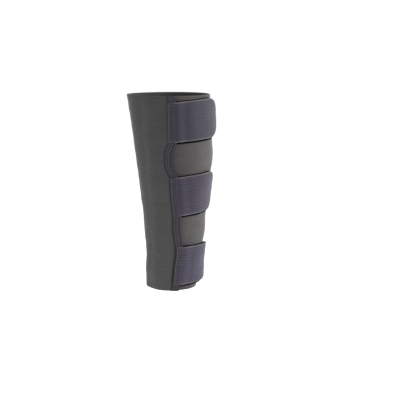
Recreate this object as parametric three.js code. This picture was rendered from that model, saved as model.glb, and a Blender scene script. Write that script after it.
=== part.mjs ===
// Wrap-around calf support: one soft panel wrapped a little more than once round and closed on its side by
// three wide elastic straps. Millimetres, +Z up. The origin is the middle of the lower hem. The front, which
// is flatter and narrower, is at -X, the full back at +X and the closure at -Y. A turn is counted from -Y and
// grows towards +X, and a distance "across" is measured the same way along the cloth, from the middle of the
// closure side.

import * as THREE from 'three';
import { mergeVertices } from 'three/addons/utils/BufferGeometryUtils.js';

// The outside of the worn panel
const sleeveHeight = 300;
const upperDepth = 127.6;
const lowerDepth = 78.8;
const upperBreadth = 121;
const lowerBreadth = 73;
const frontNarrowing = 0.1;
const bulgeHeight = 1.2;

// The gap between pieces that lie on each other
const clearance = 0.3;

// The wrapped panel, its overlap under the flap and the flap's scalloped edge
const panelThickness = 2.5;
const overlapAtTop = 32;
const overlapAtBottom = 24;
const rampLength = 22;
const rampStandOff = 2;
const edgeLead = 10;
const scallopDepth = 7.6;

// The tape folded over the flap's edge
const tapeThickness = 0.7;
const tapeWidth = 10;
const innerTapeWidth = 8;
const foldReach = 1.3;

// The straps and the hook pads sewn under their free stretches
const strapWidth = 59.5;
const strapThickness = 2;
const strapLength = 96;
const strapCorner = 25;
const hemMargin = 10;
const strapDrop = 14;
const endLift = 4;
const liftLength = 45;
const hookThickness = 1.6;
const hookOverhang = 2.2;
const hookDrop = 1;
const hookEndInset = 1;

// How finely the cloth is divided
const strapZoneStep = 12;
const gapZoneStep = 7;
const wrapSteps = 45;
const rampSteps = 4;
const flapSteps = 5;
const strapRows = 6;
const bandStep = 7;
const cornerSteps = 5;

// Sections from the lower hem (at 0) to the upper one (at 1). depth and breadth go from the lower hem's size
// (0) to the upper hem's (1), and centre is the section's shift towards the back as a share of upperDepth.
const sections = [
  { at: 0, depth: 0, breadth: 0, centre: -0.003 },
  { at: 0.1, depth: 0.09, breadth: 0.03, centre: 0.013 },
  { at: 0.2, depth: 0.18, breadth: 0.08, centre: 0.032 },
  { at: 0.4, depth: 0.41, breadth: 0.37, centre: 0.038 },
  { at: 0.6, depth: 0.69, breadth: 0.65, centre: 0.038 },
  { at: 0.7, depth: 0.81, breadth: 0.77, centre: 0.034 },
  { at: 0.8, depth: 0.88, breadth: 0.87, centre: 0.016 },
  { at: 1, depth: 1, breadth: 1, centre: -0.03 },
];

// How far the flap's edge lies past the middle of the closure side, as a share of edgeLead.
const closureLine = [
  { at: 0, lead: 1 },
  { at: 0.13, lead: 1.05 },
  { at: 0.235, lead: 1.12 },
  { at: 0.4, lead: 0.79 },
  { at: 0.53, lead: 0.48 },
  { at: 0.68, lead: 0.46 },
  { at: 0.77, lead: 0.5 },
  { at: 1, lead: 0.99 },
];

// The straps, from the lowest up. at goes from the lowest strap's place (0) to the highest one's (1), and
// scallop is the share of scallopDepth cut into the flap above the strap. inset is the share of the tape that
// the strap's sewn end leaves bare, rise the climb for each millimetre towards the free end, and length, skew
// and lift are the free end's shares of strapLength, strapCorner and endLift. flare is the share of the lift
// by which the free end's lower edge stands out more than its middle, and its upper edge less.
const straps = [
  {
    name: 'bottom', at: 0, scallop: 0.24, inset: 0.35, rise: 0.02,
    length: 0.79, skew: 0.35, lift: 1, flare: 0.6,
  },
  {
    name: 'middle', at: 0.49, scallop: 1, inset: 0.2, rise: 0.1,
    length: 0.88, skew: 0.1, lift: 0.1, flare: 0,
  },
  {
    name: 'top', at: 1, scallop: 0, inset: 0.1, rise: 0.08,
    length: 0.94, skew: 0, lift: 1.05, flare: 0,
  },
];

// Heights of the layers above the panel's inner face
const flapLift = panelThickness + clearance + tapeThickness + clearance;
const flapTop = flapLift + panelThickness;
const tapeTop = flapTop + clearance + tapeThickness;
const hookBase = panelThickness + clearance;
const strapOnFlap = tapeTop + clearance;
const strapOnHook = hookBase + hookThickness + clearance;

const { clamp, lerp, smoothstep } = THREE.MathUtils;

function slopeAt(rows, column, i) {
  const before = rows[Math.max(i - 1, 0)];
  const after = rows[Math.min(i + 1, rows.length - 1)];
  return (after[column] - before[column]) / (after.at - before.at);
}

// One column of a table at a share of the height, on a smooth curve through its rows
function readTable(rows, column, share) {
  const t = clamp(share, 0, 1);
  let i = 0;
  while (i < rows.length - 2 && t > rows[i + 1].at) {
    i += 1;
  }
  const span = rows[i + 1].at - rows[i].at;
  const x = (t - rows[i].at) / span;
  const ease = x * x * (3 - 2 * x);
  const leave = slopeAt(rows, column, i) * span * x * (1 - x) * (1 - x);
  const arrive = slopeAt(rows, column, i + 1) * span * x * x * (x - 1);
  return lerp(rows[i][column], rows[i + 1][column], ease) + leave + arrive;
}

function strapCentre(strap) {
  const lowest = hemMargin + strapWidth / 2;
  return lerp(lowest, sleeveHeight - lowest, strap.at);
}

// The open stretches between neighbouring straps
const gaps = straps.slice(0, -1).map((strap, i) => ({
  low: strapCentre(strap) + strapWidth / 2,
  high: strapCentre(straps[i + 1]) - strapWidth / 2,
  scallop: strap.scallop,
}));

// An arch over each gap: 1 in its middle and 0 at the straps, weighted by what weight gives for the gap
function gapArch(z, weight) {
  let sum = 0;
  for (const gap of gaps) {
    const x = (2 * z - gap.low - gap.high) / Math.max(gap.high - gap.low, clearance);
    sum += weight(gap) * Math.max(1 - x * x, 0);
  }
  return sum;
}

function halfSizes(z) {
  const share = z / sleeveHeight;
  return {
    depth: lerp(lowerDepth, upperDepth, readTable(sections, 'depth', share)) / 2,
    breadth: lerp(lowerBreadth, upperBreadth, readTable(sections, 'breadth', share)) / 2,
  };
}

// Turns a distance across the cloth into an angle round the sleeve
function turnOf(across, z) {
  const half = halfSizes(z);
  return (2 * across) / (half.depth + half.breadth);
}

// The point at a turn and height, so far out from the panel's inner face
function sleevePoint(turn, z, offset) {
  const half = halfSizes(z);
  const backShare = (1 + Math.sin(turn)) / 2;
  const arch = gapArch(z, () => 1);
  const out = offset - panelThickness + bulgeHeight * backShare * arch * arch;
  const centre = upperDepth * readTable(sections, 'centre', z / sleeveHeight);
  const x = centre + (half.depth + out) * Math.sin(turn);
  const y = -(half.breadth + out) * Math.cos(turn) * (1 + frontNarrowing * Math.sin(turn));
  return new THREE.Vector3(x, y, z);
}

function closureAt(z) {
  return edgeLead * readTable(closureLine, 'lead', z / sleeveHeight);
}

function flapEdge(z) {
  return closureAt(z) - gapArch(z, (gap) => scallopDepth * gap.scallop);
}

// Where the layer under the flap ends, on the front side of the closure
function underEnd(z) {
  return closureAt(z) - lerp(overlapAtBottom, overlapAtTop, z / sleeveHeight);
}

// Heights of the panel's rows: close together at the scallops, wider apart under the straps
function rowHeights() {
  const marks = [0, ...gaps.flatMap((gap) => [gap.low, gap.high]), sleeveHeight];
  const heights = [0];
  for (let i = 1; i < marks.length; i += 1) {
    const step = i % 2 === 0 ? gapZoneStep : strapZoneStep;
    const count = Math.max(Math.ceil((marks[i] - marks[i - 1]) / step), 1);
    for (let k = 1; k <= count; k += 1) {
      heights.push(lerp(marks[i - 1], marks[i], k / count));
    }
  }
  return heights;
}

const heights = rowHeights();

// Moves every corner of a closed flat block to the place that the piece gives it
function bend(block, place) {
  block.deleteAttribute('normal');
  block.deleteAttribute('uv');
  const geometry = mergeVertices(block);
  const corners = geometry.attributes.position;
  for (let i = 0; i < corners.count; i += 1) {
    const point = place(corners.getX(i), corners.getY(i), corners.getZ(i));
    corners.setXYZ(i, point.x, point.y, point.z);
  }
  geometry.computeVertexNormals();
  return geometry;
}

// A sheet cut flat as a grid. place gets the column, the row and 0 for the inner or 1 for the outer face.
function bentSheet(columns, rows, place) {
  const block = new THREE.BoxGeometry(columns, rows, 1, columns, rows, 1);
  block.translate(columns / 2, rows / 2, 1 / 2);
  return bend(block, (x, y, face) => place(Math.round(x), Math.round(y), face));
}

// The panel starts at its end under the flap, goes once round, climbs over that end and stops at the flap's
// edge.
function panelGeometry() {
  return bentSheet(wrapSteps + rampSteps + flapSteps, heights.length - 1, (column, row, face) => {
    const z = heights[row];
    const start = turnOf(underEnd(z), z) - 2 * Math.PI;
    const top = turnOf(underEnd(z) - rampStandOff, z);
    const foot = turnOf(underEnd(z) - rampStandOff - rampLength, z);
    const onRamp = column - wrapSteps;
    const onFlap = onRamp - rampSteps;
    let turn = lerp(start, foot, column / wrapSteps);
    if (onRamp > 0) {
      turn = lerp(foot, top, onRamp / rampSteps);
    }
    if (onFlap > 0) {
      turn = lerp(top, turnOf(flapEdge(z), z), onFlap / flapSteps);
    }
    return sleevePoint(turn, z, flapLift * smoothstep(turn, foot, top) + panelThickness * face);
  });
}

// The tape's section, with x counted from the flap's edge and y from the panel's inner face
function tapeSection() {
  const middle = flapLift + panelThickness / 2;
  const foldHeight = tapeTop - middle;
  const outline = new THREE.Shape();
  outline.moveTo(-tapeWidth, flapTop + clearance);
  outline.lineTo(-tapeWidth / 2, flapTop + clearance);
  outline.lineTo(clearance, flapTop + clearance);
  outline.lineTo(clearance, flapLift - clearance);
  outline.lineTo(-innerTapeWidth / 2, flapLift - clearance);
  outline.lineTo(-innerTapeWidth, flapLift - clearance);
  outline.lineTo(-innerTapeWidth, flapLift - clearance - tapeThickness);
  outline.lineTo(-innerTapeWidth / 2, flapLift - clearance - tapeThickness);
  outline.absellipse(clearance, middle, foldReach, foldHeight, -Math.PI / 2, Math.PI / 2, false);
  outline.lineTo(-tapeWidth / 2, tapeTop);
  outline.lineTo(-tapeWidth, tapeTop);
  return outline;
}

function bindingGeometry() {
  const steps = heights.length - 1;
  const options = { depth: steps, steps, curveSegments: 4, bevelEnabled: false };
  const strip = new THREE.ExtrudeGeometry(tapeSection(), options);
  return bend(strip, (x, y, row) => {
    const z = heights[steps - Math.round(row)];
    return sleevePoint(turnOf(flapEdge(z) + x, z), z, y);
  });
}

// How far a strap's free end stands off, with level from -1 at its lower edge to 1 at its upper one
function freeEndLift(strap, along, level) {
  const end = strapLength * strap.length;
  return endLift * strap.lift * (1 - strap.flare * level) * smoothstep(along, end - liftLength, end);
}

// A band that follows a strap and ends in round corners. marks are the first distances along it, overhang is
// how much wider it is on each side, drop how much lower it lies, inset how much shorter its end is, and base
// gives the height of its inner face at a distance along.
function bandGeometry(strap, { marks, overhang, drop, inset, thickness, base }) {
  const halfWidth = strapWidth / 2 + overhang;
  const corner = Math.min(strapCorner, halfWidth - strapThickness);
  const end = strapLength * strap.length - inset;
  const square = end - corner;
  const lastMark = marks[marks.length - 1];
  const straightSteps = Math.max(Math.ceil((square - lastMark) / bandStep), 1);
  const stations = [...marks];
  for (let i = 1; i <= straightSteps; i += 1) {
    stations.push(lerp(lastMark, square, i / straightSteps));
  }
  for (let i = 1; i <= cornerSteps; i += 1) {
    stations.push(square + corner * Math.sin((i / cornerSteps) * (Math.PI / 2)));
  }
  return bentSheet(stations.length - 1, strapRows, (column, row, face) => {
    const along = stations[column];
    const side = (2 * row) / strapRows - 1;
    const intoCorner = Math.min(Math.max(along - square, 0), corner);
    const reach = halfWidth - corner + Math.sqrt(corner * corner - intoCorner * intoCorner);
    const startHeight = strapCentre(strap) + side * reach - drop;
    const sewnEnd = closureAt(startHeight) - tapeWidth * (1 - strap.inset);
    const level = (side * reach) / halfWidth;
    const skewed = along + strapCorner * strap.skew * level * (along / end) ** 2;
    const z = startHeight + strap.rise * along;
    const height = base(strap, along) + freeEndLift(strap, along, level) + thickness * face;
    return sleevePoint(turnOf(sewnEnd + skewed, z), z, height);
  });
}

// Where a strap leaves the flap, as a distance from its sewn end
function stepStart(strap) {
  return tapeWidth * (1 - strap.inset) + clearance + foldReach + 1;
}

function strapMarks(strap) {
  const step = stepStart(strap);
  const marks = [0, step / 2, step];
  for (let i = 1; i <= rampSteps; i += 1) {
    marks.push(step + (strapDrop * i) / rampSteps);
  }
  return marks;
}

function strapBase(strap, along) {
  const step = stepStart(strap);
  const dropped = smoothstep(along, step, step + strapDrop);
  return lerp(strapOnFlap, strapOnHook, dropped);
}

function strapGeometry(strap) {
  return bandGeometry(strap, {
    marks: strapMarks(strap),
    overhang: 0,
    drop: 0,
    inset: 0,
    thickness: strapThickness,
    base: strapBase,
  });
}

function hookGeometry(strap) {
  return bandGeometry(strap, {
    marks: [stepStart(strap)],
    overhang: hookOverhang,
    drop: hookDrop,
    inset: hookEndInset,
    thickness: hookThickness,
    base: () => hookBase,
  });
}

function addPiece(group, name, geometry, color, roughness) {
  const material = new THREE.MeshStandardMaterial({ color, roughness, metalness: 0 });
  const mesh = new THREE.Mesh(geometry, material);
  mesh.name = name;
  group.add(mesh);
}

const support = new THREE.Group();
addPiece(support, 'wrap_panel', panelGeometry(), '#484847', 0.95);
addPiece(support, 'edge_binding', bindingGeometry(), '#38333e', 0.85);
for (const strap of straps) {
  addPiece(support, `strap_${strap.name}`, strapGeometry(strap), '#565260', 0.9);
  addPiece(support, `hook_pad_${strap.name}`, hookGeometry(strap), '#151518', 0.8);
}

export default support;
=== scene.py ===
"""A wrap-around calf support: one soft panel, closed on its side by three wide elastic straps.

Metres, in the frame's axes: +Z up from the lower hem, the flatter front at -X, the full back at +X and the
closure at -Y. Each cloth piece is cut flat, as distance along the cloth, width and thickness, and then is
wrapped round. A turn is counted from -Y and grows towards +X, and a distance "across" is measured the same
way along the cloth.
"""

import math

import bmesh
import bpy
from mathutils import Matrix, Vector, noise


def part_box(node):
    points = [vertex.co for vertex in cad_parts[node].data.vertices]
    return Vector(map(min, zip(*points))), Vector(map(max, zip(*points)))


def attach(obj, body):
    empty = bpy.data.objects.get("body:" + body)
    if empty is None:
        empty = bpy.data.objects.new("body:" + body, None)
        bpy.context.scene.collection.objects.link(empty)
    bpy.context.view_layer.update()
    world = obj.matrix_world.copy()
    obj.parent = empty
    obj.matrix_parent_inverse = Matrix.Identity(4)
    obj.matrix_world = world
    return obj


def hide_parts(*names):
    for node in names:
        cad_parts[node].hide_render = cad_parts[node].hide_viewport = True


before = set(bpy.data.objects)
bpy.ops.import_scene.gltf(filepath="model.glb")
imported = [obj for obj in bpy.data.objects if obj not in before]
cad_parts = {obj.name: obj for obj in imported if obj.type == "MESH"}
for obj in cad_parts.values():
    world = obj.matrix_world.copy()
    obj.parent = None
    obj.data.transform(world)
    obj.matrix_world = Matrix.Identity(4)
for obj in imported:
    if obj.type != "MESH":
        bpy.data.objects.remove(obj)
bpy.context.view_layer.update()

MM = 0.001

# The outside of the worn panel, as the solids have it
SLEEVE_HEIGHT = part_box("wrap_panel")[1][2]
UPPER_DEPTH = 127.6 * MM
LOWER_DEPTH = 78.8 * MM
UPPER_BREADTH = 121 * MM
LOWER_BREADTH = 73 * MM
FRONT_NARROWING = 0.1
BULGE_HEIGHT = 1.2 * MM
CLEARANCE = 0.3 * MM

PANEL_THICKNESS = 2.5 * MM
OVERLAP_AT_TOP = 32 * MM
OVERLAP_AT_BOTTOM = 24 * MM
RAMP_LENGTH = 22 * MM
RAMP_STAND_OFF = 2 * MM
EDGE_LEAD = 10 * MM
SCALLOP_DEPTH = 7.6 * MM

TAPE_THICKNESS = 0.7 * MM
TAPE_WIDTH = 10 * MM
INNER_TAPE_WIDTH = 8 * MM
FOLD_REACH = 1.3 * MM

STRAP_WIDTH = 59.5 * MM
STRAP_THICKNESS = 2 * MM
STRAP_LENGTH = 96 * MM
STRAP_CORNER = 25 * MM
HEM_MARGIN = 10 * MM
STRAP_DROP = 14 * MM
END_LIFT = 4 * MM
LIFT_LENGTH = 45 * MM
HOOK_THICKNESS = 1.6 * MM
# The hook pads reach past each strap's sides and lie lower, so a black line shows along both its edges:
# partly the pad, partly painted shade for the gap under the strap
HOOK_OVERHANG = 2.2 * MM
HOOK_DROP = 1 * MM
HOOK_END_INSET = 1 * MM

# Sections from the lower hem (at 0) to the upper one (at 1). depth and breadth go from the lower hem's
# size (0) to the upper hem's (1), and centre is the section's shift towards the back as a share of
# UPPER_DEPTH.
SECTIONS = [
    {"at": 0, "depth": 0, "breadth": 0, "centre": -0.003},
    {"at": 0.1, "depth": 0.09, "breadth": 0.03, "centre": 0.013},
    {"at": 0.2, "depth": 0.18, "breadth": 0.08, "centre": 0.032},
    {"at": 0.4, "depth": 0.41, "breadth": 0.37, "centre": 0.038},
    {"at": 0.6, "depth": 0.69, "breadth": 0.65, "centre": 0.038},
    {"at": 0.7, "depth": 0.81, "breadth": 0.77, "centre": 0.034},
    {"at": 0.8, "depth": 0.88, "breadth": 0.87, "centre": 0.016},
    {"at": 1, "depth": 1, "breadth": 1, "centre": -0.03},
]

# How far the flap's edge lies past the middle of the closure side, as a share of EDGE_LEAD
CLOSURE_LINE = [
    {"at": 0, "lead": 1},
    {"at": 0.13, "lead": 1.05},
    {"at": 0.235, "lead": 1.12},
    {"at": 0.4, "lead": 0.79},
    {"at": 0.53, "lead": 0.48},
    {"at": 0.68, "lead": 0.46},
    {"at": 0.77, "lead": 0.5},
    {"at": 1, "lead": 0.99},
]

# The straps, from the lowest up. at goes from the lowest strap's place (0) to the highest one's (1), and
# scallop is the share of SCALLOP_DEPTH cut into the flap above the strap. inset is the share of the tape
# that the strap's sewn end leaves bare, rise the climb for each metre towards the free end, and length,
# skew and lift are the free end's shares of STRAP_LENGTH, STRAP_CORNER and END_LIFT. flare is the share of
# the lift by which the free end's lower edge stands out more than its middle, and its upper edge less.
STRAPS = [
    {"name": "bottom", "at": 0, "scallop": 0.24, "inset": 0.35, "rise": 0.02,
     "length": 0.79, "skew": 0.35, "lift": 1, "flare": 0.6},
    {"name": "middle", "at": 0.49, "scallop": 1, "inset": 0.2, "rise": 0.1,
     "length": 0.88, "skew": 0.1, "lift": 0.1, "flare": 0},
    {"name": "top", "at": 1, "scallop": 0, "inset": 0.1, "rise": 0.08,
     "length": 0.94, "skew": 0, "lift": 1.05, "flare": 0},
]

# Heights of the layers above the panel's inner face
FLAP_LIFT = PANEL_THICKNESS + CLEARANCE + TAPE_THICKNESS + CLEARANCE
FLAP_TOP = FLAP_LIFT + PANEL_THICKNESS
TAPE_TOP = FLAP_TOP + CLEARANCE + TAPE_THICKNESS
HOOK_BASE = PANEL_THICKNESS + CLEARANCE
STRAP_ON_FLAP = TAPE_TOP + CLEARANCE
STRAP_ON_HOOK = HOOK_BASE + HOOK_THICKNESS + CLEARANCE

# Soft unevenness of the whole wrapped cloth: broad dents with smaller ones in them, and shallow creases
# that go round it
DENT_SIZE = 34 * MM
DENT_DEPTH = 0.75 * MM
SMALL_DENT_SIZE = DENT_SIZE / 2.3
SMALL_DENT_DEPTH = DENT_DEPTH * 0.4
CREASE_LENGTH = 70 * MM
CREASE_HEIGHT = 11 * MM
CREASE_DEPTH = 0.42 * MM

# The share of its thickness that a cloth keeps at its very rim
RIM_SHARE = 0.4


# The sleeve's form

def lerp(a, b, t):
    return a + (b - a) * t


def clamp(value, low=0.0, high=1.0):
    return max(low, min(high, value))


def smoothstep(value, low, high):
    x = clamp((value - low) / (high - low))
    return x * x * (3 - 2 * x)


def slope_at(rows, column, i):
    before = rows[max(i - 1, 0)]
    after = rows[min(i + 1, len(rows) - 1)]
    return (after[column] - before[column]) / (after["at"] - before["at"])


def read_table(rows, column, share):
    """One column of a table at a share of the height, on a smooth curve through its rows."""
    t = clamp(share)
    i = 0
    while i < len(rows) - 2 and t > rows[i + 1]["at"]:
        i += 1
    span = rows[i + 1]["at"] - rows[i]["at"]
    x = (t - rows[i]["at"]) / span
    ease = x * x * (3 - 2 * x)
    leave = slope_at(rows, column, i) * span * x * (1 - x) * (1 - x)
    arrive = slope_at(rows, column, i + 1) * span * x * x * (x - 1)
    return lerp(rows[i][column], rows[i + 1][column], ease) + leave + arrive


def strap_centre(strap):
    lowest = HEM_MARGIN + STRAP_WIDTH / 2
    return lerp(lowest, SLEEVE_HEIGHT - lowest, strap["at"])


GAPS = [
    {
        "low": strap_centre(lower) + STRAP_WIDTH / 2,
        "high": strap_centre(upper) - STRAP_WIDTH / 2,
        "scallop": lower["scallop"],
    }
    for lower, upper in zip(STRAPS, STRAPS[1:])
]


def gap_arch(z, column=None):
    """An arch over each open stretch between straps: 1 in its middle and 0 at the straps."""
    total = 0.0
    for gap in GAPS:
        x = (2 * z - gap["low"] - gap["high"]) / (gap["high"] - gap["low"])
        total += (gap[column] if column else 1) * max(1 - x * x, 0)
    return total


def half_sizes(z):
    """Half the depth and half the breadth at a height."""
    share = z / SLEEVE_HEIGHT
    depth = lerp(LOWER_DEPTH, UPPER_DEPTH, read_table(SECTIONS, "depth", share)) / 2
    breadth = lerp(LOWER_BREADTH, UPPER_BREADTH, read_table(SECTIONS, "breadth", share)) / 2
    return depth, breadth


def turn_of(across, z):
    """Turns a distance across the cloth into an angle round the sleeve."""
    return 2 * across / sum(half_sizes(z))


def dents(turn, z):
    """The cloth's soft unevenness, the same for all layers at one place."""
    x = math.sin(turn) * UPPER_DEPTH / 2
    y = math.cos(turn) * UPPER_DEPTH / 2
    spot = Vector((x, y, z))
    broad = DENT_DEPTH * noise.noise(spot / DENT_SIZE)
    small = SMALL_DENT_DEPTH * noise.noise(spot / SMALL_DENT_SIZE)
    crease = Vector((x / CREASE_LENGTH, y / CREASE_LENGTH, z / CREASE_HEIGHT))
    return broad + small + CREASE_DEPTH * noise.noise(crease)


def sleeve_point(turn, z, offset):
    """The point at a turn and height, so far out from the panel's inner face."""
    depth, breadth = half_sizes(z)
    back_share = (1 + math.sin(turn)) / 2
    bulge = BULGE_HEIGHT * back_share * gap_arch(z) ** 2
    out = offset - PANEL_THICKNESS + bulge + dents(turn, z)
    centre = UPPER_DEPTH * read_table(SECTIONS, "centre", z / SLEEVE_HEIGHT)
    x = centre + (depth + out) * math.sin(turn)
    y = -(breadth + out) * math.cos(turn) * (1 + FRONT_NARROWING * math.sin(turn))
    return Vector((x, y, z))


def closure_at(z):
    """Where the flap's edge would lie without its scallops."""
    return EDGE_LEAD * read_table(CLOSURE_LINE, "lead", z / SLEEVE_HEIGHT)


def flap_edge(z):
    return closure_at(z) - SCALLOP_DEPTH * gap_arch(z, "scallop")


def under_end(z):
    """Where the layer under the flap ends."""
    return closure_at(z) - lerp(OVERLAP_AT_BOTTOM, OVERLAP_AT_TOP, z / SLEEVE_HEIGHT)


# Cloth cut flat and then wrapped

def cut_sheet(columns, rows):
    """A closed sheet, one unit long, wide and thick, with its underside at 0 and its faces in a grid."""
    sheet = bmesh.new()
    sheet.loops.layers.uv.new("cut")
    bmesh.ops.create_grid(sheet, x_segments=columns, y_segments=rows, size=0.5)
    bmesh.ops.translate(sheet, verts=sheet.verts, vec=(0.5, 0.5, 0))
    bmesh.ops.solidify(sheet, geom=sheet.faces[:], thickness=1)
    bmesh.ops.recalc_face_normals(sheet, faces=sheet.faces[:])
    lowest = min(v.co.z for v in sheet.verts)
    bmesh.ops.translate(sheet, verts=sheet.verts, vec=(0, 0, -lowest))
    return sheet


def shape_sheet(sheet, cut, wrap):
    """Gives each corner its place on the cut, keeps that as UVs in metres and wraps the cut round."""
    uv = sheet.loops.layers.uv.active
    flat = {}
    for vert in sheet.verts:
        along, wide = cut(vert.co.x, vert.co.y)
        flat[vert] = (along, wide)
        vert.co = wrap(along, wide, vert.co.z)
    for face in sheet.faces:
        for loop in face.loops:
            loop[uv].uv = flat[loop.vert]


def mark_end(sheet, band):
    """Keeps each corner's distance from a strap's round free end. The sheet isn't wrapped yet."""
    layer = sheet.verts.layers.float.new("from_end")
    for vert in sheet.verts:
        vert[layer] = band.from_end(*band.cut(vert.co.x, vert.co.y))


def face_sides(sheet):
    """Gives a sheet that isn't wrapped yet three finishes: for its face, its underside and its rim."""
    for face in sheet.faces:
        if face.normal.z < -0.5:
            face.material_index = 1
        elif face.normal.z < 0.5:
            face.material_index = 2


def finish_piece(name, shape, finishes, node=None):
    """Makes a shape an object with its finishes, which may replace a node of the frame."""
    mesh = bpy.data.meshes.new(name)
    bmesh.ops.recalc_face_normals(shape, faces=shape.faces[:])
    shape.to_mesh(mesh)
    shape.free()
    for finish in finishes:
        mesh.materials.append(finish)
    mesh.polygons.foreach_set("use_smooth", [True] * len(mesh.polygons))
    piece = bpy.data.objects.new(name, mesh)
    bpy.context.scene.collection.objects.link(piece)
    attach(piece, "root")
    if node:
        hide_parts(node)
    return piece


def edge_share(distance, radius):
    """The share of its thickness that a cloth keeps at a distance from its rim, which rounds the rim."""
    x = 1 - clamp(distance / radius)
    return lerp(RIM_SHARE, 1, math.sqrt(1 - x * x))


# Thread

# A stitch's width, its half height as a share of that, the share of its pitch that it fills, and its faces
THREAD_SIZE = 0.62 * MM
STITCH_FLATNESS = 0.42
STITCH_SHARE = 0.74
STITCH_SIDES = 8
STITCH_RINGS = 5

# The height above a cloth's underside, in thicknesses, that shows which way is outward
OUTWARD_REACH = 3


class Thread:
    """Stitches of one colour of thread, gathered into one piece."""

    def __init__(self):
        self.mesh = bmesh.new()

    def stitch(self, start, end, outward):
        middle = (start + end) / 2
        along = (end - start).normalized()
        side = outward.cross(along).normalized()
        out = along.cross(side)
        turn = Matrix((along, side, out)).transposed().to_4x4()
        half_length = (end - start).length / 2
        scale = Matrix.Diagonal((half_length, THREAD_SIZE / 2, THREAD_SIZE * STITCH_FLATNESS, 1))
        place = Matrix.Translation(middle) @ turn @ scale
        bmesh.ops.create_uvsphere(
            self.mesh, u_segments=STITCH_SIDES, v_segments=STITCH_RINGS, radius=1, matrix=place
        )

    def row(self, wrap, path, pitch):
        """Stitches along a path of (along, wide) points on a wrapped cloth."""
        steps = [math.dist(a, b) for a, b in zip(path, path[1:])]
        count = max(round(sum(steps) / pitch), 1)
        for i in range(count):
            first = (i + 0.5 - STITCH_SHARE / 2) / count
            start = point_on(path, steps, first)
            end = point_on(path, steps, first + STITCH_SHARE / count)
            outward = wrap(*start, OUTWARD_REACH) - wrap(*start, 1)
            self.stitch(wrap(*start, 1), wrap(*end, 1), outward.normalized())


def point_on(path, steps, share):
    """The point at a share of a path's length."""
    left = share * sum(steps)
    i = 0
    while i < len(steps) - 1 and left > steps[i]:
        left -= steps[i]
        i += 1
    t = left / steps[i]
    return lerp(path[i][0], path[i + 1][0], t), lerp(path[i][1], path[i + 1][1], t)


# The wrapped panel

PANEL_COLUMNS = {"wrap": 128, "ramp": 14, "flap": 18}
PANEL_ROWS = 200
PANEL_RIM = 1.1 * MM


def panel_cut(x, y):
    """The panel's cut, from its end under the flap to the flap's edge."""
    z = y * SLEEVE_HEIGHT
    girth = math.pi * sum(half_sizes(z))
    top = under_end(z) - RAMP_STAND_OFF
    foot = top - RAMP_LENGTH
    column = x * sum(PANEL_COLUMNS.values())
    on_ramp = column - PANEL_COLUMNS["wrap"]
    on_flap = on_ramp - PANEL_COLUMNS["ramp"]
    across = lerp(under_end(z) - girth, foot, column / PANEL_COLUMNS["wrap"])
    if on_ramp > 0:
        across = lerp(foot, top, on_ramp / PANEL_COLUMNS["ramp"])
    if on_flap > 0:
        across = lerp(top, flap_edge(z), on_flap / PANEL_COLUMNS["flap"])
    return across, z


def panel_wrap(across, z, up):
    """The panel goes once round and then climbs over its own end, as the flap."""
    top = under_end(z) - RAMP_STAND_OFF
    lift = FLAP_LIFT * smoothstep(across, top - RAMP_LENGTH, top)
    start = under_end(z) - math.pi * sum(half_sizes(z))
    rim = min(across - start, flap_edge(z) - across, z, SLEEVE_HEIGHT - z)
    share = 0.5 + (up - 0.5) * edge_share(rim, PANEL_RIM)
    return sleeve_point(turn_of(across, z), z, lift + PANEL_THICKNESS * share)


def make_panel():
    sheet = cut_sheet(sum(PANEL_COLUMNS.values()), PANEL_ROWS)
    face_sides(sheet)
    shape_sheet(sheet, panel_cut, panel_wrap)
    finishes = [PANEL_KNIT, LINING, FOAM]
    panel = finish_piece("panel", sheet, finishes, node="wrap_panel")
    width = math.pi * sum(half_sizes(SLEEVE_HEIGHT)) + OVERLAP_AT_TOP
    mean_overlap = (OVERLAP_AT_TOP + OVERLAP_AT_BOTTOM) / 2
    mean_width = math.pi * sum(half_sizes(SLEEVE_HEIGHT / 2)) + mean_overlap


# The tape folded over the flap's edge

TAPE_ROWS = 260
TAPE_COLUMNS = 44
TAPE_STITCH_PITCH = 3.4 * MM
TAPE_STITCH_END = 2 * MM
GROOVE_DEPTH = 0.16 * MM
GROOVE_WIDTH = 0.8 * MM

# The tape's stitch rows, as distances past the flap's edge
TAPE_STITCH_ROWS = [-6.6 * MM, -3.2 * MM]

# The tape's middle line in section is flat over and under the flap and half an ellipse round its edge
TAPE_MIDDLE = FLAP_LIFT + PANEL_THICKNESS / 2
FOLD_ACROSS = FOLD_REACH - TAPE_THICKNESS / 2
FOLD_OUT = TAPE_TOP - TAPE_MIDDLE - TAPE_THICKNESS / 2
FOLD_LENGTH = math.pi * math.sqrt((FOLD_ACROSS**2 + FOLD_OUT**2) / 2)
TAPE_CUT = TAPE_WIDTH + CLEARANCE + FOLD_LENGTH + CLEARANCE + INNER_TAPE_WIDTH


def groove(distance):
    """How far a row of stitches pulls the cloth down at a distance from it."""
    return GROOVE_DEPTH * math.exp(-((distance / GROOVE_WIDTH) ** 2))


def tape_cut(x, y):
    """The tape's cut: the way round the flap's edge, from its outer rim on, and the height."""
    return x * TAPE_CUT, y * SLEEVE_HEIGHT


def tape_wrap(around, z, up):
    """The tape goes over the flap, round its edge and back under it."""
    over = TAPE_WIDTH + CLEARANCE
    half = (up - 0.5) * TAPE_THICKNESS
    half *= edge_share(min(around, TAPE_CUT - around, z, SLEEVE_HEIGHT - z), TAPE_THICKNESS)
    if around <= over:
        across = around - TAPE_WIDTH
        pulled = sum(groove(across - row) for row in TAPE_STITCH_ROWS)
        height = TAPE_MIDDLE + FOLD_OUT + half - pulled * up
    elif around < over + FOLD_LENGTH:
        angle = math.pi * (around - over) / FOLD_LENGTH
        across = CLEARANCE + (FOLD_ACROSS + half) * math.sin(angle)
        height = TAPE_MIDDLE + (FOLD_OUT + half) * math.cos(angle)
    else:
        across = CLEARANCE - (around - over - FOLD_LENGTH)
        height = TAPE_MIDDLE - FOLD_OUT - half
    return sleeve_point(turn_of(flap_edge(z) + across, z), z, height)


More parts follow.
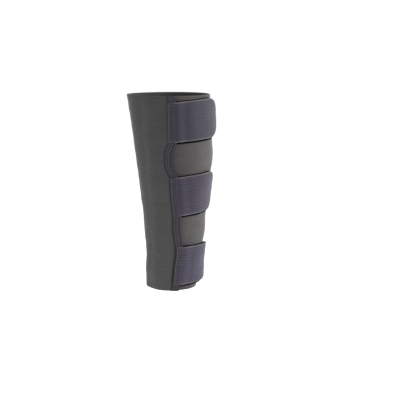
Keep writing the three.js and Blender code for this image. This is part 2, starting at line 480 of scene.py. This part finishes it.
def make_binding():
    sheet = cut_sheet(TAPE_COLUMNS, TAPE_ROWS)
    shape_sheet(sheet, tape_cut, tape_wrap)
    tape = finish_piece("binding", sheet, [TAPE_CLOTH], node="edge_binding")
    thread = Thread()
    ends = (TAPE_STITCH_END, SLEEVE_HEIGHT - TAPE_STITCH_END)
    for row in TAPE_STITCH_ROWS:
        path = [(TAPE_WIDTH + row, end) for end in ends]
        thread.row(tape_wrap, path, TAPE_STITCH_PITCH)
    finish_piece("binding_stitches", thread.mesh, [PALE_THREAD])


# The straps and their hook pads

STRAP_ROWS = 190
STRAP_COLUMNS = 80
HOOK_ROWS = 63
HOOK_COLUMNS = 40
STRAP_RIM = 0.9 * MM

# The share of a band's columns that divides its round end, and the steps of the seam round it
ROUND_SHARE = 0.3
SEAM_CORNER_STEPS = 12

# How far past the tape's fold a strap stays level before it drops to its hook pad
LEVEL_REACH = 1 * MM

# The elastic's ribs, its raised selvedges and its turned-in sewn end, the hem
RIB_PITCH = 2.5 * MM
RIB_DEPTH = 0.06 * MM
BROAD_RIB_DEPTH = 0.06 * MM
SELVEDGE_WIDTH = 1.8 * MM
SELVEDGE_RISE = 0.22 * MM
SELVEDGE_SLOPE = 0.54 * MM
HEM_LENGTH = 8.6 * MM
HEM_RISE = 0.45 * MM
HEM_SLOPE = 1.5 * MM

# How steeply a round end has to turn before its rim counts as its end and no longer as its side
END_TURN = 0.6

# The straps' stitches. They pull the soft elastic down further than the tape.
ELASTIC_PULL = 1.5
HEM_STITCH_ROWS = [2.2 * MM, 4.6 * MM, 7 * MM]
HOOK_SEAM_INSET = 4.5 * MM
STRAP_STITCH_PITCH = 3 * MM
TACK_PITCH = 2 * MM

# Short reinforcing rows on the sewn ends: their heights from the strap's middle, and their start and end
TACKS = {
    "bottom": {"heights": [3 * MM, 7 * MM, 11 * MM], "start": 1.5 * MM, "end": 13 * MM},
    "middle": {"heights": [23.5 * MM, 25.5 * MM], "start": 0.8 * MM, "end": 6.5 * MM},
    "top": {"heights": [-26 * MM, 26 * MM], "start": 0.8 * MM, "end": 7.5 * MM},
}


def step_start(strap):
    """Where a strap leaves the flap, as a distance from its sewn end."""
    return TAPE_WIDTH * (1 - strap["inset"]) + CLEARANCE + FOLD_REACH + LEVEL_REACH


class Band:
    """A strap, or the hook pad under it: its outline when flat and its way round.

    first is where it starts along the strap, overhang how much wider it is on each side, drop how much
    lower it lies and inset how much shorter its end is.
    """

    def __init__(self, strap, first=0.0, overhang=0.0, drop=0.0, inset=0.0, thickness=STRAP_THICKNESS):
        self.strap = strap
        self.first = first
        self.drop = drop
        self.thickness = thickness
        self.half_width = STRAP_WIDTH / 2 + overhang
        self.corner = min(STRAP_CORNER, self.half_width - STRAP_THICKNESS)
        self.end = STRAP_LENGTH * strap["length"] - inset
        self.square = self.end - self.corner

    def cut(self, x, y):
        """The place on the flat band of a corner of the unit square."""
        straight = 1 - ROUND_SHARE
        if x < straight:
            along = lerp(self.first, self.square, x / straight)
        else:
            along = self.square + self.corner * math.sin((x - straight) / ROUND_SHARE * math.pi / 2)
        return along, (2 * y - 1) * self.reach(along)

    def reach(self, along):
        """Half the band's width at a distance along it."""
        into = clamp(along - self.square, 0, self.corner)
        return self.half_width - self.corner + math.sqrt(self.corner**2 - into**2)

    def rim(self, along, wide):
        """The distance from the rim, inwards."""
        past = along - self.square
        beside = abs(wide) - (self.half_width - self.corner)
        if past > 0 and beside > 0:
            to_outline = self.corner - math.hypot(past, beside)
        else:
            to_outline = self.corner - max(past, beside)
        return max(min(to_outline, along - self.first), 0)

    def from_end(self, along, wide):
        """The distance inwards from the round end, counted longer where it turns into the sides."""
        beside = max(abs(wide) - (self.half_width - self.corner), 0)
        past = along - self.square
        if past <= 0:
            return self.corner
        away = math.hypot(past, beside)
        side_share = 1 - smoothstep(past / away, 0, END_TURN)
        return self.corner - away + 2 * SELVEDGE_WIDTH * side_share

    def area(self):
        corners = (4 - math.pi) / 2 * self.corner**2
        return 2 * self.half_width * (self.end - self.first) - corners

    def place(self, along, wide, height):
        """The point on the sleeve, with the strap's climb, its skew and its lifted free end."""
        strap = self.strap
        level = wide / self.half_width
        start_height = strap_centre(strap) + wide - self.drop
        sewn_end = closure_at(start_height) - TAPE_WIDTH * (1 - strap["inset"])
        skewed = along + STRAP_CORNER * strap["skew"] * level * (along / self.end) ** 2
        z = start_height + strap["rise"] * along
        end = STRAP_LENGTH * strap["length"]
        lift = END_LIFT * strap["lift"] * (1 - strap["flare"] * level)
        lift *= smoothstep(along, end - LIFT_LENGTH, end)
        return sleeve_point(turn_of(sewn_end + skewed, z), z, height + lift)


def strap_relief(band, along, wide):
    """Ribs, selvedges, the turned-in sewn end and the pull of its stitches on a strap's face."""
    to_side = band.half_width - abs(wide)
    ribs = RIB_DEPTH * math.cos(2 * math.pi * wide / RIB_PITCH)
    ribs += BROAD_RIB_DEPTH * math.cos(math.pi * wide / RIB_PITCH)
    ribs *= smoothstep(to_side, SELVEDGE_WIDTH, SELVEDGE_WIDTH + SELVEDGE_SLOPE)
    selvedge = SELVEDGE_RISE * (1 - smoothstep(to_side, SELVEDGE_WIDTH - SELVEDGE_SLOPE, SELVEDGE_WIDTH))
    hem = HEM_RISE * (1 - smoothstep(along, HEM_LENGTH - HEM_SLOPE, HEM_LENGTH))
    pulled = sum(groove(along - row) for row in HEM_STITCH_ROWS)
    if along > step_start(band.strap) + STRAP_DROP:
        pulled += groove(band.rim(along, wide) - HOOK_SEAM_INSET)
    return ribs + selvedge + hem - ELASTIC_PULL * pulled


def strap_wrap(band):
    """The strap lies on the flap and the tape, and drops to its hook pad past them."""
    step = step_start(band.strap)

    def wrap(along, wide, up):
        base = lerp(STRAP_ON_FLAP, STRAP_ON_HOOK, smoothstep(along, step, step + STRAP_DROP))
        share = 0.5 + (up - 0.5) * edge_share(band.rim(along, wide), STRAP_RIM)
        height = base + band.thickness * share + strap_relief(band, along, wide) * up
        return band.place(along, wide, height)

    return wrap


def hook_wrap(band):
    """The hook pad lies on the panel all along."""

    def wrap(along, wide, up):
        share = 0.5 + (up - 0.5) * edge_share(band.rim(along, wide), HOOK_THICKNESS / 2)
        return band.place(along, wide, HOOK_BASE + band.thickness * share)

    return wrap


def seam_path(band):
    """The seam round a strap's free end that holds its hook pad, from its upper side to its lower one."""
    corner = band.corner - HOOK_SEAM_INSET
    side = band.half_width - band.corner
    path = [(step_start(band.strap) + STRAP_DROP, side + corner)]
    for i in range(SEAM_CORNER_STEPS + 1):
        angle = math.pi / 2 * (1 - i / SEAM_CORNER_STEPS)
        path.append((band.square + corner * math.cos(angle), side + corner * math.sin(angle)))
    return path + [(along, -wide) for along, wide in reversed(path)]


def make_elastic(name, band):
    sheet = cut_sheet(STRAP_COLUMNS, STRAP_ROWS)
    mark_end(sheet, band)
    shape_sheet(sheet, band.cut, strap_wrap(band))
    piece_name = f"strap_{name}_elastic"
    piece = finish_piece(piece_name, sheet, [ELASTIC], node=f"strap_{name}")
    band.area()


def make_hooks(name, pad):
    sheet = cut_sheet(HOOK_COLUMNS, HOOK_ROWS)
    shape_sheet(sheet, pad.cut, hook_wrap(pad))
    hooks = finish_piece(f"hooks_{name}", sheet, [HOOK_TAPE], node=f"hook_pad_{name}")
    pad.area()


def make_hem_stitches(name, band):
    thread = Thread()
    wrap = strap_wrap(band)
    reach = band.half_width - SELVEDGE_WIDTH
    for row in HEM_STITCH_ROWS:
        thread.row(wrap, [(row, -reach), (row, reach)], STRAP_STITCH_PITCH)
    tacks = TACKS[name]
    for wide in tacks["heights"]:
        thread.row(wrap, [(tacks["start"], wide), (tacks["end"], wide)], TACK_PITCH)
    finish_piece(f"strap_{name}_hem_stitches", thread.mesh, [HEM_THREAD])


def make_seam_stitches(name, band):
    thread = Thread()
    thread.row(strap_wrap(band), seam_path(band), STRAP_STITCH_PITCH)
    finish_piece(f"strap_{name}_seam_stitches", thread.mesh, [STRAP_THREAD])


def make_strap(strap):
    name = strap["name"]
    band = Band(strap)
    pad = Band(strap, step_start(strap), HOOK_OVERHANG, HOOK_DROP, HOOK_END_INSET, HOOK_THICKNESS)
    make_elastic(name, band)
    make_hooks(name, pad)
    make_hem_stitches(name, band)
    make_seam_stitches(name, band)


# Finishes

def paint(red, green, blue):
    """A colour of a material from its screen values of 0 to 255."""
    return tuple((value / 255) ** 2.2 for value in (red, green, blue))


# One jersey: the back's grey differs from the front's only by the light and shade that fall there, painted
# light and shade
FRONT_GREY = paint(63, 62, 62)
BACK_GREY = paint(64, 62, 62)
INNER_FRONT_GREY = paint(58, 58, 58)
INNER_BACK_GREY = paint(60, 60, 59)
FOAM_GREY = paint(76, 75, 75)
TAPE_GREY = paint(44, 41, 47)
# The elastic's greys from low to high: the low one is more purple, and paler by painted light from the
# floor
LOW_ELASTIC_GREY = paint(56, 52, 66)
HIGH_ELASTIC_GREY = paint(45, 43, 51)
SELVEDGE_GREY = paint(72, 70, 75)
FOLD_HIGHLIGHT_GREY = paint(68, 66, 70)
END_RIM_GREY = paint(36, 35, 39)
HOOK_BLACK = paint(14, 14, 16)
PALE_THREAD_GREY = paint(94, 92, 97)
HEM_THREAD_GREY = paint(76, 74, 80)
STRAP_THREAD_GREY = paint(52, 50, 57)
FLOOR_WHITE = paint(250, 250, 250)

SHEEN_ROUGHNESS = 0.35

# The jersey: its loops, ribs and relief, the reach along the cut over which the greys change from the back
# to the front, and the painted shadow of the bottom strap, which darkens the cloth low down beside the
# closure, at the back
KNIT_PITCH = 1.15 * MM
KNIT_RIB_PITCH = 2.6 * MM
KNIT_RELIEF = 0.12 * MM
LINING_RIB_PITCH = 1.6 * MM
LINING_RELIEF = 0.08 * MM
BACK_TO_FRONT = (-260 * MM, -130 * MM)
STRAP_SHADOW_ON_HEM = 0.55
STRAP_SHADOW_REACH = (5.2 * MM, 13 * MM)

# The tape: its twill and threads, and the reaches from its rim and its fold over which it is darker,
# painted shade for the crevices along its edges
TWILL_PITCH = 0.9 * MM
TAPE_THREAD_PITCH = 0.6 * MM
TAPE_RIM_SHADE = (0.6 * MM, 3.4 * MM)
TAPE_FOLD_SHADE = (TAPE_WIDTH + 0.6 * MM, TAPE_WIDTH - 1.6 * MM)

# The elastic: its crosswise threads, the soft line between selvedge and face, the painted highlight on the
# folded end, the painted light on the stretch towards the free end, and the dark rim round that end
WEFT_PITCH = 1.1 * MM
SELVEDGE_BLUR = 0.2 * MM
FOLD_SHINE_REACH = (1.4 * MM, 1 * MM)
FREE_END_LIGHT_REACH = (15 * MM, 75 * MM)
END_RIM_REACH = (2.8 * MM, 1.8 * MM)

# The rows of small hooks
HOOK_ROW_PITCH = 1.2 * MM
HOOK_PITCH = 1.4 * MM


class Finish:
    """A cloth's material, with short ways to add nodes to it."""

    def __init__(self, name, roughness, sheen=0.0, specular=0.3):
        self.material = bpy.data.materials.new(name)
        self.material.use_nodes = True
        self.tree = self.material.node_tree
        self.shader = self.tree.nodes["Principled BSDF"]
        self.shader.inputs["Roughness"].default_value = roughness
        self.shader.inputs["Specular IOR Level"].default_value = specular
        self.shader.inputs["Sheen Weight"].default_value = sheen
        self.shader.inputs["Sheen Roughness"].default_value = SHEEN_ROUGHNESS

    def add(self, kind, inputs, **settings):
        """Adds a node. An input is a value to set, or another node's output to link."""
        node = self.tree.nodes.new(f"ShaderNode{kind}")
        for name, value in settings.items():
            setattr(node, name, value)
        for socket, value in inputs.items():
            if isinstance(value, bpy.types.NodeSocket):
                self.tree.links.new(value, node.inputs[socket])
            else:
                node.inputs[socket].default_value = value
        return node

    def calculate(self, operation, *values):
        return self.add("Math", dict(enumerate(values)), operation=operation).outputs[0]

    def cut_place(self):
        """Where a point lies on the flat cut, in metres along the cloth and across it."""
        place = self.add("UVMap", {}, uv_map="cut")
        parts = self.add("SeparateXYZ", {"Vector": place.outputs["UV"]})
        return parts.outputs["X"], parts.outputs["Y"]

    def level(self):
        """The height, from 0 at the lower hem to 1 at the upper one."""
        place = self.add("TexCoord", {}).outputs["Object"]
        height = self.add("SeparateXYZ", {"Vector": place}).outputs["Z"]
        return self.calculate("DIVIDE", height, SLEEVE_HEIGHT)

    def ribs(self, distance, pitch):
        """Ridges from 0 to 1, one for each pitch of a distance in metres."""
        angle = self.calculate("MULTIPLY", distance, 2 * math.pi / pitch)
        return self.calculate("MULTIPLY_ADD", self.calculate("COSINE", angle), 0.5, 0.5)

    def grain(self, size, detail=2.0):
        """Soft blotches of about a size in metres."""
        place = self.add("TexCoord", {}).outputs["Object"]
        inputs = {"Vector": place, "Scale": 1 / size, "Detail": detail, "Roughness": 0.6}
        return self.add("TexNoise", inputs).outputs["Fac"]

    def stretched_grain(self, along, across, length, width):
        """Blotches of about a length along the cloth and a width across it."""
        x = self.calculate("DIVIDE", along, length)
        y = self.calculate("DIVIDE", across, width)
        place = self.add("CombineXYZ", {"X": x, "Y": y}).outputs[0]
        return self.add("TexNoise", {"Vector": place, "Scale": 1.0, "Detail": 3.0}).outputs["Fac"]

    def between(self, value, low, high):
        """0 at low, 1 at high and a smooth change between them, whichever is the larger."""
        inputs = {"Value": value, "From Min": low, "From Max": high}
        return self.add("MapRange", inputs, interpolation_type="SMOOTHSTEP").outputs["Result"]

    def blend(self, share, first, second):
        """The first colour at a share of 0 and the second at 1, mixed as vectors."""
        mix = self.add("Mix", {0: share, 4: first, 5: second}, data_type="VECTOR")
        return mix.outputs[1]

    def shade(self, colour, value, first, second):
        """A colour times the first factor where a value is 0, and times the second where it is 1."""
        factor = self.calculate("MULTIPLY_ADD", value, second - first, first)
        return self.add("VectorMath", {0: colour, "Scale": factor}, operation="SCALE").outputs[0]

    def total(self, *weighted):
        """A sum of (value, weight) pairs."""
        result = 0.0
        for value, weight in weighted:
            result = self.calculate("MULTIPLY_ADD", value, weight, result)
        return result

    def colour(self, value):
        """Makes a value the colour of the material."""
        self.tree.links.new(value, self.shader.inputs["Base Color"])

    def relief(self, height, depth):
        """Makes a height, from 0 to about 1, a relief of a depth in metres."""
        bump = self.add("Bump", {"Strength": 1.0, "Distance": depth, "Height": height})
        self.tree.links.new(bump.outputs["Normal"], self.shader.inputs["Normal"])


def knit_finish(name, front, back, rib_pitch, depth):
    """Brushed jersey over foam, with faint ribs going round. It is paler low down, painted light for the
    light the floor throws up, and a painted shadow of the bottom strap darkens its lower hem beside the
    closure, at the back.
    """
    finish = Finish(name, 0.9, sheen=0.26, specular=0.2)
    across, height = finish.cut_place()
    rib = finish.ribs(height, rib_pitch)
    course = finish.ribs(height, KNIT_PITCH)
    wale = finish.ribs(across, KNIT_PITCH)
    loops = finish.calculate("MULTIPLY", course, wale)
    streak = finish.stretched_grain(across, height, length=45 * MM, width=2.6 * MM)
    fuzz = finish.grain(size=0.8 * MM)
    cloud = finish.grain(size=26 * MM, detail=4.0)
    front_share = finish.between(across, *BACK_TO_FRONT)
    colour = finish.blend(front_share, back, front)
    # Painted light: paler low down, where the floor throws light up
    colour = finish.shade(colour, finish.level(), 1.32, 0.98)
    colour = finish.shade(colour, rib, 0.93, 1.06)
    colour = finish.shade(colour, loops, 0.92, 1.16)
    colour = finish.shade(colour, streak, 0.8, 1.2)
    colour = finish.shade(colour, fuzz, 0.72, 1.28)
    colour = finish.shade(colour, cloud, 0.84, 1.16)
    # A painted shadow of the bottom strap darkens the lower hem beside the closure, at the back
    above_strap_shadow = finish.between(height, *STRAP_SHADOW_REACH)
    outside_strap_shadow = finish.calculate("MAXIMUM", above_strap_shadow, front_share)
    finish.colour(finish.shade(colour, outside_strap_shadow, STRAP_SHADOW_ON_HEM, 1))
    finish.relief(finish.total((rib, 0.4), (loops, 0.6), (streak, 0.4), (fuzz, 0.9)), depth)
    return finish.material


def foam_finish():
    """The cut edge of the foam between the panel's knits."""
    finish = Finish("cut_foam_edge", 0.95)
    cell = finish.grain(size=0.5 * MM, detail=3.0)
    finish.colour(finish.shade(FOAM_GREY, cell, 0.6, 1.4))
    finish.relief(cell, depth=0.25 * MM)
    return finish.material


def tape_finish():
    """Thin woven tape with a slanting twill line, with painted shade towards its rim and at its fold,
    where crevices fall.
    """
    finish = Finish("binding_twill", 0.75, sheen=0.12)
    around, height = finish.cut_place()
    past_rim = finish.between(around, *TAPE_RIM_SHADE)
    before_fold = finish.between(around, *TAPE_FOLD_SHADE)
    slant = finish.calculate("ADD", around, height)
    twill = finish.ribs(slant, TWILL_PITCH)
    thread = finish.ribs(height, TAPE_THREAD_PITCH)
    cloud = finish.grain(size=12 * MM)
    colour = finish.shade(TAPE_GREY, twill, 0.8, 1.2)
    # Painted shade in the crevices along the tape's rim and at its fold
    colour = finish.shade(colour, past_rim, 0.62, 1)
    colour = finish.shade(colour, before_fold, 0.5, 1)
    finish.colour(finish.shade(colour, cloud, 0.85, 1.15))
    finish.relief(finish.total((twill, 0.6), (thread, 0.4)), depth=0.1 * MM)
    return finish.material


def elastic_finish():
    """Ribbed elastic: lengthwise ribs, fine crosswise threads, pale selvedges and a darker hem.

    It is paler towards the free end, painted light where that end turns to the soft box, with a dark rim
    round that end.
    """
    finish = Finish("ribbed_elastic", 0.76, sheen=0.26, specular=0.25)
    along, wide = finish.cut_place()
    side = finish.calculate("ABSOLUTE", wide)
    selvedge_start = STRAP_WIDTH / 2 - SELVEDGE_WIDTH
    selvedge = finish.between(side, selvedge_start - SELVEDGE_BLUR, selvedge_start + SELVEDGE_BLUR)
    past_hem = finish.between(along, HEM_LENGTH - HEM_SLOPE, HEM_LENGTH)
    fold = finish.between(along, *FOLD_SHINE_REACH)
    from_end = finish.add("Attribute", {}, attribute_name="from_end").outputs["Fac"]
    end_rim = finish.between(from_end, *END_RIM_REACH)
    free_end_light = finish.between(along, *FREE_END_LIGHT_REACH)
    rib = finish.ribs(wide, RIB_PITCH)
    broad_rib = finish.ribs(wide, 2 * RIB_PITCH)
    weft = finish.ribs(along, WEFT_PITCH)
    streak = finish.stretched_grain(along, wide, length=40 * MM, width=1.6 * MM)
    fuzz = finish.grain(size=0.6 * MM)
    cloud = finish.grain(size=18 * MM)
    # Paler low down by painted light from the floor; the lower straps are also more purple
    colour = finish.blend(finish.level(), LOW_ELASTIC_GREY, HIGH_ELASTIC_GREY)
    colour = finish.shade(colour, past_hem, 0.88, 1)
    # Painted light: paler towards the free end, which turns to the soft box
    colour = finish.shade(colour, free_end_light, 0.9, 1.06)
    colour = finish.shade(colour, rib, 0.9, 1.06)
    colour = finish.shade(colour, broad_rib, 0.9, 1.08)
    colour = finish.shade(colour, weft, 0.95, 1.05)
    colour = finish.shade(colour, streak, 0.82, 1.18)
    selvedge = finish.calculate("MULTIPLY", selvedge, finish.total((past_hem, 0.7), (1.0, 0.3)))
    colour = finish.blend(selvedge, colour, SELVEDGE_GREY)
    # A painted highlight along the folded sewn end
    colour = finish.blend(fold, colour, FOLD_HIGHLIGHT_GREY)
    colour = finish.blend(end_rim, colour, END_RIM_GREY)
    colour = finish.shade(colour, fuzz, 0.8, 1.2)
    finish.colour(finish.shade(colour, cloud, 0.9, 1.1))
    finish.relief(finish.total((weft, 0.6), (fuzz, 0.7)), depth=0.16 * MM)
    return finish.material


def hook_finish():
    """Black hook tape, with its rows of small hooks."""
    finish = Finish("hook_tape_black", 0.95, specular=0.05)
    along, wide = finish.cut_place()
    row = finish.ribs(along, HOOK_ROW_PITCH)
    hooks = finish.calculate("MULTIPLY", row, finish.ribs(wide, HOOK_PITCH))
    fuzz = finish.grain(size=0.8 * MM)
    finish.colour(finish.shade(HOOK_BLACK, fuzz, 0.6, 1.4))
    finish.relief(finish.total((hooks, 1.0), (fuzz, 0.5)), depth=0.4 * MM)
    return finish.material


def thread_finish(name, grey):
    """Twisted sewing thread."""
    finish = Finish(name, 0.55, sheen=0.1)
    twist = finish.grain(size=0.5 * MM)
    finish.colour(finish.shade(grey, twist, 0.7, 1.3))
    finish.relief(twist, depth=0.08 * MM)
    return finish.material


def floor_finish():
    finish = Finish("pale_floor", 0.9)
    speck = finish.grain(size=60 * MM)
    finish.colour(finish.shade(FLOOR_WHITE, speck, 0.99, 1.01))
    return finish.material


PANEL_KNIT = knit_finish("panel_jersey", FRONT_GREY, BACK_GREY, KNIT_RIB_PITCH, KNIT_RELIEF)
LINING = knit_finish("panel_lining", INNER_FRONT_GREY, INNER_BACK_GREY, LINING_RIB_PITCH, LINING_RELIEF)
FOAM = foam_finish()
TAPE_CLOTH = tape_finish()
ELASTIC = elastic_finish()
HOOK_TAPE = hook_finish()
PALE_THREAD = thread_finish("pale_thread", PALE_THREAD_GREY)
HEM_THREAD = thread_finish("hem_thread", HEM_THREAD_GREY)
STRAP_THREAD = thread_finish("strap_thread", STRAP_THREAD_GREY)


# Studio: the camera at the photograph's angle, a pale floor and soft light

CAMERA_PLACE = (0.0448, -1.5377, 0.3814)
CAMERA_PITCH = math.radians(90 - 9.09)
CAMERA_LENS = 90
CAMERA_SENSOR = 36
FLOOR_DROP = 0.11
FLOOR_RADIUS = 12
FLOOR_SIDES = 96
WORLD_STRENGTH = 1.06

# Soft boxes on both sides: where they stand, their width and their power in watts
SOFT_BOXES = [
    {"name": "back_box", "place": (1.6, -0.15, 0.7), "size": 1.2, "power": 40},
    {"name": "front_box", "place": (-1.6, 0.1, 0.7), "size": 1.2, "power": 3},
]


def make_camera():
    camera = bpy.data.objects.new("camera", bpy.data.cameras.new("camera"))
    camera.data.lens = CAMERA_LENS
    camera.data.sensor_width = CAMERA_SENSOR
    camera.location = CAMERA_PLACE
    camera.rotation_euler = (CAMERA_PITCH, 0, 0)
    bpy.context.scene.collection.objects.link(camera)
    bpy.context.scene.camera = camera


def make_lights():
    middle = Vector((0, 0, SLEEVE_HEIGHT / 2))
    for box in SOFT_BOXES:
        light = bpy.data.lights.new(box["name"], "AREA")
        light.size = box["size"]
        light.energy = box["power"]
        lamp = bpy.data.objects.new(box["name"], light)
        lamp.location = box["place"]
        lamp.rotation_euler = (middle - lamp.location).to_track_quat("-Z", "Y").to_euler()
        bpy.context.scene.collection.objects.link(lamp)


def make_world():
    world = bpy.data.worlds.new("studio")
    world.use_nodes = True
    sky = world.node_tree.nodes["Background"]
    sky.inputs["Color"].default_value = (1, 1, 1, 1)
    sky.inputs["Strength"].default_value = WORLD_STRENGTH
    bpy.context.scene.world = world
    bpy.context.scene.view_settings.view_transform = "Standard"


def make_floor():
    disc = bmesh.new()
    bmesh.ops.create_circle(disc, cap_ends=True, segments=FLOOR_SIDES, radius=FLOOR_RADIUS)
    bmesh.ops.translate(disc, verts=disc.verts, vec=(0, 0, -FLOOR_DROP))
    mesh = bpy.data.meshes.new("floor")
    disc.to_mesh(mesh)
    disc.free()
    mesh.materials.append(floor_finish())
    floor = bpy.data.objects.new("floor", mesh)
    bpy.context.scene.collection.objects.link(floor)


make_camera()
make_lights()
make_world()
make_floor()
make_panel()
make_binding()
for strap_row in STRAPS:
    make_strap(strap_row)
